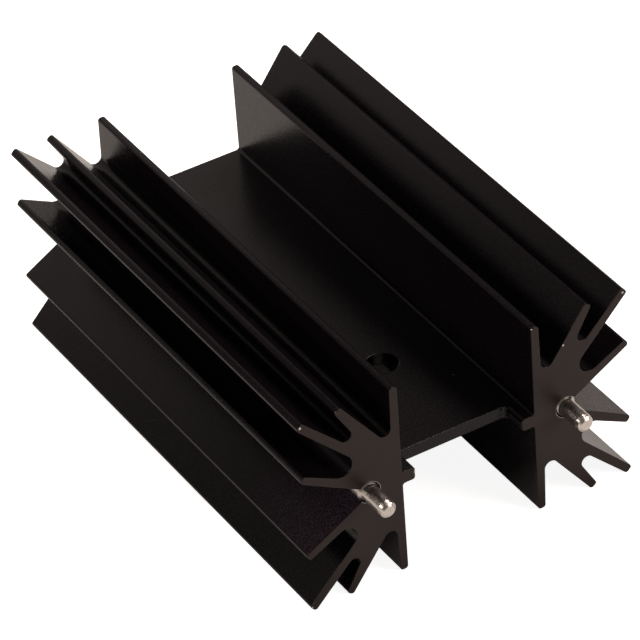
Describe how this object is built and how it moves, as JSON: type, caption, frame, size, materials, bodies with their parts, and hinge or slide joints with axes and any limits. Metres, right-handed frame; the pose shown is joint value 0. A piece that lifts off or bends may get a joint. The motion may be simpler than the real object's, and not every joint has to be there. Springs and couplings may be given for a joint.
{
  "type": "extruded heat sink",
  "caption": "Black anodised extruded heat sink with a web between finned columns for a power device, and round solder pins at one end to hold it upright on a circuit board.",
  "frame": {"origin": "midway between the two solder pins, on the end face that meets the circuit board", "axes": "+Y runs along the extrusion away from the pins, +X runs across the width from one pin to the other, and +Z is square to the web, up as the part lies on its fin tips"},
  "size_m": [0.042, 0.0675, 0.0254],
  "materials": {
    "anodised_aluminium": "black anodised, satin",
    "tinned_pin": "bright tin plate"
  },
  "bodies": {
    "root": {"heat_sink_extrusion": "anodised_aluminium", "left_solder_pin": "tinned_pin", "right_solder_pin": "tinned_pin"}
  },
  "joints": []
}
